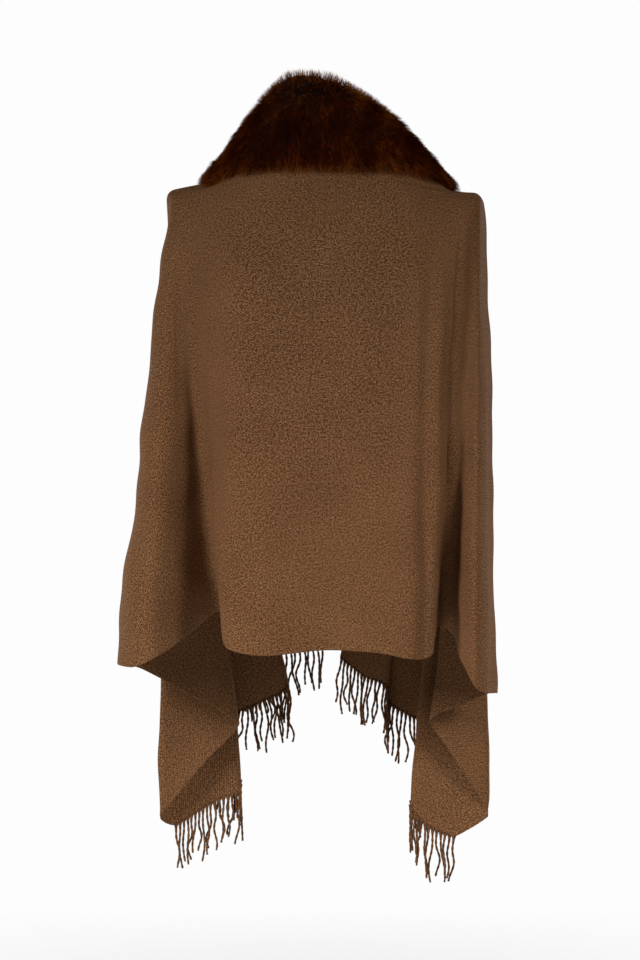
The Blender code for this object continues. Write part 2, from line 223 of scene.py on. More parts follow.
CREASES = (
    Crease(-0.63, 0.80, 1.00, 0.16, -3.5),
    Crease(-0.30, 0.30, 1.00, 0.34, 1.6),
    Crease(0.55, 0.15, 0.85, 0.30, 1.6),
    Crease(1.30, 0.20, 1.00, 0.26, -1.8),
    Crease(2.45, 0.12, 0.85, 0.42, -6.0),
    Crease(2.75, 0.55, 1.00, 0.38, -6.0),
    Crease(3.15, 0.20, 1.00, 0.30, 2.5),
    Crease(-1.45, 0.10, 0.70, 0.30, 1.8),
    Crease(-2.40, 0.15, 0.80, 0.24, -1.6),
    Crease(-3.00, -0.30, 0.02, 1.60, -6.0),
    Crease(-5.80, -0.30, 0.24, 2.20, -8.0),
    Crease(-7.60, -0.30, 0.85, 1.30, -5.5),
    Crease(7.40, -0.30, 0.14, 1.60, -8.0),
    Crease(-5.45, 0.12, 0.90, 0.30, 2.0),
    Crease(-6.35, 0.20, 1.00, 0.26, -1.6),
    Crease(6.50, 0.15, 0.80, 0.28, -1.8),
    Crease(7.40, 0.30, 1.00, 0.12, 2.4),
    Crease(-8.60, 0.25, 1.00, 0.35, 2.6),
    Crease(-11.40, 0.40, 1.00, 0.35, -2.2),
    Crease(-14.50, 0.30, 0.95, 0.35, 2.0),
    Crease(-17.60, 0.25, 1.00, 0.40, -2.6),
    Crease(-21.60, 0.10, 0.85, 0.35, 2.4),
    Crease(9.60, 0.30, 1.00, 0.35, 2.2),
    Crease(12.50, 0.35, 1.00, 0.35, 2.6),
    Crease(15.40, 0.30, 0.90, 0.35, -2.0),
    Crease(18.40, 0.20, 1.00, 0.40, 2.4),
    Crease(21.60, 0.10, 0.90, 0.35, -2.2),
)


class Tuck(NamedTuple):
    """A fine groove along the neck edge, between two places, in millimetres below the edge."""

    first: float
    last: float
    below: float
    width: float
    depth: float


TUCKS = (
    Tuck(1.7, 8.0, 22.0, 2.6, 5.0),
    Tuck(2.4, 6.5, 34.0, 2.6, 2.4),
)

CUT_WIDTH = 0.65
CUT_LENGTH = 1.70
CORNER_FOLD = {Side.LEFT: 13, Side.RIGHT: 14}


def unit(vectors: np.ndarray) -> np.ndarray:
    """Vectors divided by their own length."""
    return vectors / np.maximum(np.linalg.norm(vectors, axis=-1, keepdims=True), 1e-12)


def ease(value: np.ndarray) -> np.ndarray:
    """Smooth step 3x^2 - 2x^3 of a value held between 0 and 1."""
    held = np.clip(value, 0.0, 1.0)
    return held * held * (3.0 - 2.0 * held)


def lengths_along(points: np.ndarray) -> np.ndarray:
    """Distance from the first point to each one along a polyline."""
    steps = np.linalg.norm(np.diff(points, axis=0), axis=1)
    return np.concatenate([[0.0], np.cumsum(steps)])


def smooth(points: np.ndarray, steps: np.ndarray, soft: Sequence[float] = (1.0,)) -> np.ndarray:
    """Reads a smooth curve through points at fractional row numbers.

    A cubic Hermite curve: each tangent points from the neighbour before to the one after, and is
    as long as the shorter of the two chords, so a tight fold never swings out past a wide one.

    Args:
        points: rows of coordinates.
        steps: fractional row numbers.
        soft: a share of the tangents' length, one for all rows or one for each.

    Returns:
        One point for each step.
    """
    chords = np.diff(points, axis=0)
    lengths = np.linalg.norm(chords, axis=1, keepdims=True)
    tangents = np.concatenate([chords[:1], chords[1:] + chords[:-1], chords[-1:]])
    tangents[1:-1] = unit(tangents[1:-1]) * np.minimum(lengths[1:], lengths[:-1])
    tangents = tangents * np.reshape(soft, (-1, 1))
    row = np.clip(np.floor(steps).astype(int), 0, len(chords) - 1)
    f = (steps - row)[:, None]
    start, end = points[row], points[row + 1]
    leave, arrive = tangents[row], tangents[row + 1]
    return ((2 * f**3 - 3 * f**2 + 1) * start + (f**3 - 2 * f**2 + f) * leave
            + (3 * f**2 - 2 * f**3) * end + (f**3 - f**2) * arrive)


def read_along(positions: np.ndarray, knots: np.ndarray, values: np.ndarray) -> np.ndarray:
    """Reads each column of values, given at knots, at other positions by straight lines."""
    return np.stack([np.interp(positions, knots, column) for column in values.T], axis=1)


def mirrored(rows: Sequence[NamedTuple], by_share: bool) -> list[NamedTuple]:
    """A left-hand table from the front edge to the back, with its out and share below 0."""
    turned = [row._replace(out=-row.out) for row in reversed(rows)]
    return [row._replace(share=-row.share) for row in turned] if by_share else turned


def places_of(rows: Sequence[NamedTuple]) -> np.ndarray:
    """The points (out, front, height) that a table's rows stand for."""
    return np.array([(row.out, row.front, row.up if hasattr(row, "up") else -row.down)
                     for row in rows])


def along(rows: Sequence[NamedTuple], shares: np.ndarray) -> np.ndarray:
    """Points of a share table's smooth curve at the given shares."""
    return smooth(places_of(rows), np.interp(shares, [row.share for row in rows],
                                             np.arange(len(rows))))


def ripple(points: np.ndarray, wavelength: float, seed: int) -> np.ndarray:
    """Smooth noise about 0: eight sine waves with seeded directions and phases.

    Args:
        points: rows of coordinates.
        wavelength: the mean length of a wave, in the points' unit.
        seed: for the directions and phases.

    Returns:
        One value for each point, mostly between -1 and 1.
    """
    random = np.random.default_rng(seed)
    waves = unit(random.normal(size=(8, points.shape[-1])))
    waves *= 2 * math.pi / wavelength * random.uniform(0.7, 1.4, (8, 1))
    phases = random.uniform(0, 2 * math.pi, 8)
    return np.sin(points @ waves.T + phases).sum(axis=-1) / math.sqrt(8)


def linear(code: str) -> tuple[float, float, float, float]:
    """Linear RGBA of an sRGB hex colour, by the sRGB curve."""
    parts = [int(code[k:k + 2], 16) / 255 for k in (1, 3, 5)]
    return *(c / 12.92 if c <= 0.04045 else ((c + 0.055) / 1.055) ** 2.4 for c in parts), 1.0


def add_node(tree: NodeTree, kind: str, settings: dict | None = None,
             links: dict | None = None) -> Node:
    """Adds a node with its settings and links.

    Args:
        tree: the material's node tree.
        kind: the node's type name.
        settings: values by input name or number, or by property name.
        links: output sockets by input name or number.

    Returns:
        The new node.
    """
    node = tree.nodes.new(kind)
    for key, value in (settings or {}).items():
        if isinstance(key, int) or key in node.inputs:
            node.inputs[key].default_value = value
        else:
            setattr(node, key, value)
    for key, source in (links or {}).items():
        tree.links.new(source, node.inputs[key])
    return node


def new_material(name: str, settings: dict) -> tuple[Material, NodeTree, Node]:
    """Makes a material with a Principled shader.

    Args:
        name: the material's name.
        settings: the shader's values by input name.

    Returns:
        The material, its node tree and its shader.
    """
    material = bpy.data.materials.new(name)
    material.use_nodes = True
    tree = material.node_tree
    shader = tree.nodes["Principled BSDF"]
    for key, value in settings.items():
        shader.inputs[key].default_value = value
    return material, tree, shader


def colour_and_bump(tree: NodeTree, shader: Node, tone: NodeSocket,
                    stops: Sequence[tuple[float, str]],
                    bump: tuple[float, float] | None = None) -> None:
    """Gives a shader a colour, and a bump if asked, that both follow one tone.

    Args:
        tree: the material's node tree.
        shader: the shader.
        tone: the value that they follow.
        stops: the colour ramp's places from low to high, with sRGB hex colours.
        bump: the bump's strength, and its depth in metres.
    """
    ramp = add_node(tree, "ShaderNodeValToRGB", {}, {"Fac": tone})
    elements = ramp.color_ramp.elements
    for element, (place, colour) in zip(elements, (stops[0], stops[-1])):
        element.position, element.color = place, linear(colour)
    for place, colour in stops[1:-1]:
        elements.new(place).color = linear(colour)
    tree.links.new(ramp.outputs["Color"], shader.inputs["Base Color"])
    if bump:
        raised = add_node(tree, "ShaderNodeBump", {"Strength": bump[0], "Distance": bump[1]},
                          {"Height": tone})
        tree.links.new(raised.outputs["Normal"], shader.inputs["Normal"])


@dataclass(frozen=True)
class MelangeTwill:
    """Carded wool twill of mixed brown yarns, milled so that its diagonals are just seen.

    Wool scatters light, so it is matt, with only a faint nap. Each yarn is spun of light and
    dark fibres, so its colour changes along it, and the twill's diagonals decide whether a warp
    or a weft yarn is on top. A yarn is drawn at yarn_mm, which is wide enough to show.
    """

    name: str = "wool_melange_twill"
    dark: str = "#3d2614"
    middle: str = "#6c472c"
    light: str = "#96704c"
    rib_mm: float = 2.4
    yarn_mm: float = 1.4
    slub_mm: float = 2.8
    fleck_mm: float = 1.4
    cloud_mm: float = 80.0
    woven_share: float = 0.55
    fleck_share: float = 0.33
    rib_share: float = 0.08
    cloud_share: float = 0.04
    contrast: float = 0.112
    bump: tuple[float, float] = (0.5, 0.0006)
    roughness: float = 0.95
    gloss: float = 0.12
    nap: float = 0.05
    nap_colour: str = "#b07a4c"

    def material(self) -> Material:
        """Yarns of changing colour on diagonal ribs, with flecks. The four shares add up to 1.

        Returns:
            The material, which reads the cloth's own cut coordinates in metres.
        """
        material, tree, shader = new_material(self.name, {
            "Roughness": self.roughness, "Specular IOR Level": self.gloss,
            "Sheen Weight": self.nap, "Sheen Roughness": 0.5,
            "Sheen Tint": linear(self.nap_colour)})
        cut = add_node(tree, "ShaderNodeUVMap", {"uv_map": UV_NAME}).outputs["UV"]
        rib_scale = 2 * math.pi / (10 * self.rib_mm / 1000 * math.sqrt(2))
        ribs = add_node(tree, "ShaderNodeTexWave",
                        {"bands_direction": "DIAGONAL", "Scale": rib_scale, "Distortion": 2.0,
                         "Detail": 1.0, "Detail Scale": 2.5}, {"Vector": cut}).outputs["Fac"]
        weft = self.yarns(tree, cut, self.slub_mm, self.yarn_mm)
        warp = self.yarns(tree, cut, self.yarn_mm, self.slub_mm)
        woven = add_node(tree, "ShaderNodeMix", {"data_type": "FLOAT"},
                         {"Factor": ribs, "A": weft, "B": warp}).outputs["Result"]
        flecks = self.yarns(tree, cut, self.fleck_mm, self.fleck_mm)
        clouds = self.yarns(tree, cut, self.cloud_mm, self.cloud_mm)
        tone = add_node(tree, "ShaderNodeMath", {"operation": "MULTIPLY", 1: self.woven_share},
                        {0: woven}).outputs[0]
        for source, share in ((flecks, self.fleck_share), (ribs, self.rib_share),
                              (clouds, self.cloud_share)):
            tone = add_node(tree, "ShaderNodeMath", {"operation": "MULTIPLY_ADD", 1: share},
                            {0: source, 2: tone}).outputs[0]
        colour_and_bump(tree, shader, tone,
                        [(0.5 - self.contrast, self.dark), (0.5, self.middle),
                         (0.5 + self.contrast, self.light)], self.bump)
        return material

    @staticmethod
    def yarns(tree: NodeTree, cut: NodeSocket, long_mm: float, wide_mm: float) -> NodeSocket:
        """Noise with patches of a given size.

        Args:
            tree: the material's node tree.
            cut: coordinates on the flat cut, in metres.
            long_mm: the patches' size along the cut's length.
            wide_mm: their size across it.

        Returns:
            The noise, from 0 to 1.
        """
        sized = add_node(tree, "ShaderNodeMapping",
                         {"Scale": (1000 / long_mm, 1000 / wide_mm, 1.0)}, {"Vector": cut})
        return add_node(tree, "ShaderNodeTexNoise",
                        {"Scale": 1.0, "Detail": 0.5, "Roughness": 0.6},
                        {"Vector": sized.outputs["Vector"]}).outputs["Fac"]


@dataclass(frozen=True)
class Mottled:
    """A finish of fine fibres in two tones, with a soft bump, on Object coordinates.

    low and high are the places of its two tones on the noise, and bump is the bump's strength
    and its depth in metres.
    """

    name: str
    dark: str
    light: str
    fibre_mm: float
    detail: float
    low: float
    high: float
    bump: tuple[float, float]
    roughness: float
    gloss: float = 0.5
    nap: float = 0.0

    def material(self) -> Material:
        """Noise that is as fine as the fibres, between the two tones.

        Returns:
            The material.
        """
        material, tree, shader = new_material(self.name, {
            "Roughness": self.roughness, "Specular IOR Level": self.gloss,
            "Sheen Weight": self.nap})
        place = add_node(tree, "ShaderNodeTexCoord").outputs["Object"]
        fibres = add_node(tree, "ShaderNodeTexNoise",
                          {"Scale": 1000 / self.fibre_mm, "Detail": self.detail},
                          {"Vector": place}).outputs["Fac"]
        colour_and_bump(tree, shader, fibres, [(self.low, self.dark), (self.high, self.light)],
                        self.bump)
        return material


# Warp ends of the same wool, twisted in pairs: rounder and a little darker than the cloth.
TWISTED_YARN = Mottled("wool_twisted_yarn", "#3a2312", "#7d5636", fibre_mm=2.2, detail=2.0,
                       low=0.30, high=0.72, bump=(0.4, 0.0004), roughness=0.92, gloss=0.12,
                       nap=0.05)
# The woolly underfur on the pelt, seen only as dark depth between the hairs.
UNDERFUR = Mottled("dyed_underfur", "#140401", "#300e03", fibre_mm=2.4, detail=3.0,
                   low=0.35, high=0.75, bump=(0.8, 0.002), roughness=0.95)


@dataclass(frozen=True)
class ShearedFur:
    """Dyed and sheared fur: a dense short pile, near black in its depth and russet at the tips.

    The pile's own UV map holds how far up a hair a point is, and the tone of its tuft, which
    also carries painted highlights along the collar's crest and sewn edge.
    """

    name: str = "dyed_sheared_fur"
    root: str = "#230801"
    middle: str = "#5a2106"
    tip: str = "#bd6c22"
    roughness: float = 0.75
    gloss: float = 0.04
    gloss_colour: str = "#c8743a"

    def material(self) -> Material:
        """Root to tip colour, shifted by each tuft's tone.

        Returns:
            The material, which reads the pile's own UV map.
        """
        material, tree, shader = new_material(self.name, {
            "Roughness": self.roughness, "Specular IOR Level": self.gloss,
            "Specular Tint": linear(self.gloss_colour)})
        pile = add_node(tree, "ShaderNodeUVMap", {"uv_map": UV_NAME}).outputs["UV"]
        parts = add_node(tree, "ShaderNodeSeparateXYZ", {}, {0: pile})
        # Each hair's tone, which holds the painted highlights along the collar's edges, times how
        # far up the hair.
        toned = add_node(tree, "ShaderNodeMath", {"operation": "MULTIPLY"},
                         {0: parts.outputs["X"], 1: parts.outputs["Y"]})
        colour_and_bump(tree, shader, toned.outputs[0],
                        [(0.05, self.root), (0.45, self.middle), (0.95, self.tip)])
        return material


def add_mesh(name: str, vertices: np.ndarray, quads: np.ndarray, material: Material,
             corner_uv: np.ndarray | None = None) -> Object:
    """Puts whole arrays of vertices and faces into a new mesh object.

    Args:
        name: the piece's name.
        vertices: n by 3 coordinates.
        quads: m by k vertex numbers, k the same for all faces.
        material: the finish.
        corner_uv: one uv for each vertex, or None.

    Returns:
        The object, at the origin.
    """
    count, corners = quads.shape
    mesh = bpy.data.meshes.new(name)
    mesh.vertices.add(len(vertices))
    mesh.vertices.foreach_set("co", np.ascontiguousarray(vertices, dtype=np.float32).ravel())
    mesh.loops.add(count * corners)
    mesh.loops.foreach_set("vertex_index", quads.astype(np.int32).ravel())
    mesh.polygons.add(count)
    mesh.polygons.foreach_set("loop_start", np.arange(0, count * corners, corners, dtype=np.int32))
    mesh.polygons.foreach_set("use_smooth", np.ones(count, dtype=bool))
    if corner_uv is not None:
        layer = mesh.uv_layers.new(name=UV_NAME)
        layer.data.foreach_set("uv", corner_uv[quads.ravel()].astype(np.float32).ravel())
    mesh.update(calc_edges=True)
    mesh.validate()
    mesh.materials.append(material)
    piece = bpy.data.objects.new(name, mesh)
    bpy.context.scene.collection.objects.link(piece)
    return piece


def grid_quads(rows: int, columns: int, closed: bool = False) -> np.ndarray:
    """Faces of a grid of vertices numbered row by row.

    Args:
        rows: rows of vertices.
        columns: vertices in a row.
        closed: whether the last column joins the first.

    Returns:
        Four vertex numbers for each face.
    """
    row, column = np.meshgrid(np.arange(rows - 1), np.arange(columns - (not closed)),
                              indexing="ij")
    beside = (column + 1) % columns
    return np.stack([row * columns + column, row * columns + beside,
                     (row + 1) * columns + beside, (row + 1) * columns + column],
                    axis=-1).reshape(-1, 4)


@dataclass
class Drape:
    """The middle surface of the draped rectangle, worked out from the fold tables."""

    sub_columns: int = 7
    top_rows: int = 42
    top_power: float = 1.8
    bend_rows: int = 9
    hang_rows: int = 80
    edge_step: float = 0.2
    crease_run: float = 0.18
    ripple_height: float = 0.0009
    ripple_length: float = 0.085

    def __post_init__(self) -> None:
        """Works out the surface, its place on the flat cut and its outward normals."""
        self.side_folds = len(LEFT_FOLDS)
        self.places = np.linspace(-self.side_folds, self.side_folds,
                                  2 * self.side_folds * self.sub_columns + 1)
        close = (1 - self.edge_step) / self.sub_columns
        self.places[1] -= close
        self.places[-2] += close
        self.grid = self.hung()
        self.cut = self.cut_places()
        self.normals = self.outward()
        self.grid = self.grid + self.normals * self.relief()[..., None]
        self.normals = self.outward()

    def hung(self) -> np.ndarray:
        """Rows of points from the neck to the lower edge.

        Each column goes straight from the neck line to the leaving line, in rows that are closer
        near the neck, turns there on a parabola, and hangs straight to its end, while its swing
        outwards grows with a power of the depth.

        Returns:
            rows by columns by 3.
        """
        folds = mirrored(LEFT_FOLDS, False) + [CENTRE_BACK] + list(RIGHT_FOLDS)
        steps = self.places + self.side_folds
        ends = smooth(places_of(folds), steps, [fold.soft for fold in folds])
        powers = read_along(steps, np.arange(len(folds)),
                            np.array([(fold.opens, fold.deepens) for fold in folds]))
        shares = self.places / self.side_folds
        neck = along(mirrored(LEFT_NECK[1:], True) + list(RIGHT_NECK), shares)
        line = mirrored(LEFT_LEAVING[1:], True) + list(RIGHT_LEAVING)
        leaving = along(line, shares)
        bends = np.interp(shares, [row.share for row in line], [row.bend for row in line])[:, None]
        swing = np.concatenate([powers, np.ones((len(powers), 1))], axis=1)
        start = leaving + unit(neck - leaving) * bends
        depth = bends / np.linalg.norm(ends - leaving, axis=1, keepdims=True)
        turned = leaving + (ends - leaving) * depth ** swing
        f = (np.arange(self.top_rows)[:, None, None] / self.top_rows) ** self.top_power
        top = neck + (start - neck) * f
        f = np.arange(self.bend_rows)[:, None, None] / self.bend_rows
        bend = (1 - f)**2 * start + 2 * f * (1 - f) * leaving + f**2 * turned
        f = np.append(np.arange(self.hang_rows), self.hang_rows - np.array([self.edge_step, 0]))
        f = f[:, None, None] / self.hang_rows
        hang = leaving + (ends - leaving) * (depth + (1 - depth) * f) ** swing
        return np.concatenate([top, bend, hang])

    def cut_places(self) -> np.ndarray:
        """Where each point lies on the flat rectangle, in metres.

        Along the upper edge and the hem it is the length passed, and down a column it is the
        length passed as a share. The short ends count up from the corners.

        Returns:
            rows by columns by 2, with the length first.
        """
        middle = self.side_folds * self.sub_columns
        ends = np.zeros((len(self.places), 2))
        tops = np.zeros_like(ends)
        for side in Side:
            columns = middle + side.value * np.arange(middle + 1)
            neck = lengths_along(self.grid[0, columns])
            tops[columns, 0] = side.value * neck
            passed = lengths_along(self.grid[-1, columns])
            corner = passed[CORNER_FOLD[side] * self.sub_columns]
            beyond = (passed - corner) / (passed[-1] - corner)
            ends[columns, 0] = side.value * CUT_LENGTH / 2 * np.minimum(passed / corner, 1)
            ends[columns, 1] = CUT_WIDTH * (1 - np.maximum(beyond, 0))
        steps = np.linalg.norm(np.diff(self.grid, axis=0), axis=2)
        self.passed = np.concatenate([np.zeros((1, steps.shape[1])), np.cumsum(steps, axis=0)])
        return tops + (ends - tops) * (self.passed / self.passed[-1])[..., None]

    def relief(self) -> np.ndarray:
        """Height of the creases and of a slight unevenness, for each point, in metres.

        A crease is a bell curve across the folds times an eased run in and out down the cloth,
        and a tuck is a bell curve down the cloth times an eased run across the folds.

        Returns:
            rows by columns.
        """
        depth = self.passed / self.passed[-1]
        height = self.ripple_height * ripple(self.cut, self.ripple_length, 11)
        height += 2 * self.ripple_height * ripple(self.cut, 3 * self.ripple_length, 12)
        height *= ease(depth * 5)
        for crease in CREASES:
            bell = np.exp(-((self.places - crease.place) / crease.width) ** 2)
            run = ease((depth - crease.top) / self.crease_run)
            if crease.low < 1:
                run = run * ease((crease.low - depth) / self.crease_run)
            height = height + bell * run * crease.height / 1000
        for tuck in TUCKS:
            bell = np.exp(-((self.passed * 1000 - tuck.below) / tuck.width) ** 2)
            run = ease(self.places - tuck.first) * ease(tuck.last - self.places)
            height = height - bell * run * tuck.depth / 1000
        return height

    def outward(self) -> np.ndarray:
        """Unit normals of the surface, pointing away from the wearer."""
        return unit(np.cross(np.gradient(self.grid, axis=0), np.gradient(self.grid, axis=1)))

    def end_columns(self, side: Side) -> np.ndarray:
        """Column numbers of a short end, from its lower corner to the front edge."""
        middle = self.side_folds * self.sub_columns
        return middle + side.value * np.arange(CORNER_FOLD[side] * self.sub_columns, middle + 1)


@dataclass
class WoolCloth:
    """The uncut rectangle of twill, as a thin wall with rounded edges."""

    drape: Drape
    finish: MelangeTwill = MelangeTwill()
    wall: float = 0.0017
    edge_rows: int = 3

    def build(self) -> Object:
        """Builds the wall.

        The two faces are the middle surface moved out and in by half the wall. Round the edge
        they are joined by a half circle of edge_rows strips.

        Returns:
            The cloth, in place of the three stretches of the frame.
        """
        grid, normals = self.drape.grid, self.drape.normals
        rows, columns = grid.shape[:2]
        half = normals * self.wall / 2
        faces = grid_quads(rows, columns)
        outer = (grid + half).reshape(-1, 3)
        inner = (grid - half).reshape(-1, 3)
        number = np.arange(rows * columns).reshape(rows, columns)
        rim = np.concatenate([number[0], number[1:, -1], number[-1, -2::-1], number[-2:0:-1, 0]])
        flat = grid.reshape(-1, 3)[rim]
        out = half.reshape(-1, 3)[rim]
        run = unit(np.roll(flat, -1, axis=0) - np.roll(flat, 1, axis=0))
        away = unit(np.cross(out, run)) * self.wall / 2
        turns = np.arange(1, self.edge_rows) / self.edge_rows * math.pi
        bands = [flat + out * math.cos(turn) + away * math.sin(turn) for turn in turns]
        vertices = np.concatenate([outer, inner] + bands)
        count = rows * columns
        band_start = 2 * count + np.arange(len(bands))[:, None] * len(rim)
        rings = np.vstack([rim[None], band_start + np.arange(len(rim)), rim[None] + count])
        after = np.roll(rings, -1, axis=1)
        edge = np.stack([rings[:-1], rings[1:], after[1:], after[:-1]], axis=-1).reshape(-1, 4)
        quads = np.concatenate([faces[:, ::-1], faces + count, edge[:, ::-1]])
        uv = self.drape.cut.reshape(-1, 2)
        corner_uv = np.concatenate([uv, uv] + [uv[rim]] * len(bands))
        piece = add_mesh("wool_cloth", vertices, quads, self.finish.material(), corner_uv)
        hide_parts("cloth_back", "cloth_left_front", "cloth_right_front")
        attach(piece, "root")
        return piece


@dataclass
class Fringe:
    """A row of twisted strands on one short end."""

    drape: Drape
    side: Side
    finish: Mottled = TWISTED_YARN
    pitch: float = 0.0064
    length: float = 0.067
    uneven: float = 0.16
    radius: float = 0.00155
    taper: float = 0.12
    lobe: float = 0.22
    half_turn: float = 0.009
    ring: int = 8
    rows: int = 22
    flare: float = 0.0020
    wave: float = 0.0038
    lean: float = 0.0040
    clump_share: float = 0.42
    clump_pull: float = 0.50
    seed: int = 21

    def build(self) -> Object:
        """Builds every strand of the end as one mesh.

        A strand's middle line starts along the cloth's own fall and settles to straight down. A
        slow wave and a lean grow with its length, and groups of neighbours lean together and
        meet near their tips. Round it goes a two-lobed ring that turns with the twist.

        Returns:
            The fringe, in place of its node.
        """
        random = np.random.default_rng(self.seed + self.side.value)
        columns = self.drape.end_columns(self.side)
        edge = self.drape.grid[-1, columns]
        knots = lengths_along(edge)
        falls = unit(edge - self.drape.grid[-3, columns])
        strands = round(knots[-1] / self.pitch)
        at = (np.arange(strands) + 0.5) / strands * knots[-1]
        roots = read_along(at, knots, edge)
        fall = unit(read_along(at, knots, falls))
        along_edge = unit(read_along(at, knots, np.gradient(edge, axis=0)))
        steep = np.abs((along_edge * fall).sum(axis=1))[:, None]
        free = np.clip(1.2 - steep ** 2, 0.15, 1)
        lengths = self.length * (1 + self.uneven * random.uniform(-1, 1, (strands, 1)))
        clump = np.cumsum(random.random(strands) < self.clump_share)
        count = np.bincount(clump)
        centre = np.stack([np.bincount(clump, roots[:, k]) / np.maximum(count, 1)
                           for k in range(2)], axis=1)
        pull = random.uniform(0, 1, len(count))[clump][:, None] ** 0.6 * self.clump_pull
        lean = random.normal(0, self.lean, (strands, 2)) * free
        lean += (centre[clump] - roots[:, :2]) * pull
        f = np.linspace(0, 1, self.rows)[None, :, None]
        phase = random.uniform(0, 2 * math.pi, (strands, 1, 2))
        speed = random.uniform(0.6, 1.6, (strands, 1, 2)) * 2 * math.pi
        swing = random.uniform(0.3, 1.0, (strands, 1, 2)) * free[:, None] * self.wave
        wave = ease(f * 1.5) * np.sin(speed * f + phase) * swing
        middle = np.repeat(roots[:, None], self.rows, axis=1)
        settle = ease(f * 1.6)
        drop = fall[:, None] * (1 - settle) + settle * [0, 0, -1.0]
        steps = drop * lengths[:, None] / (self.rows - 1)
        middle = middle + np.cumsum(steps, axis=1) - steps[:, :1] * 1.15
        middle[..., :2] += wave + lean[:, None] * ease(f)
        across = np.repeat(along_edge[:, None], self.rows, axis=1)
        down = unit(np.gradient(middle, axis=1))
        across = unit(across - down * (across * down).sum(axis=-1, keepdims=True))
        aside = np.cross(down, across)
        turns = np.arange(self.ring) / self.ring * 2 * math.pi
        twist = (f[..., 0] * lengths / self.half_turn * math.pi)[..., None]
        lobes = 1 + self.lobe * np.cos(2 * (turns - twist))
        thick = self.radius * (1 - self.taper * f ** 3) * lobes
        opening = self.flare * (1 - ease(f * 7))
        vertices = (middle[:, :, None]
                    + across[:, :, None] * ((thick + opening) * np.cos(turns))[..., None]
                    + aside[:, :, None] * (thick * np.sin(turns))[..., None])
        tube = grid_quads(self.rows, self.ring, closed=True)
        each = np.arange(strands)[:, None, None] * self.rows * self.ring
        spokes = np.arange(1, self.ring - 1)
        fan = np.stack([spokes + 1, spokes, 0 * spokes], axis=1)
        faces = np.concatenate([tube[:, [0, 1, 2]], tube[:, [0, 2, 3]], fan,
                                fan[:, ::-1] + (self.rows - 1) * self.ring])
        piece = add_mesh(f"twisted_fringe_{self.side.name.lower()}", vertices.reshape(-1, 3),
                         (faces[None] + each).reshape(-1, 3), self.finish.material())
        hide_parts("fringe_left" if self.side is Side.LEFT else "fringe_right")
        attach(piece, "root")
        return piece


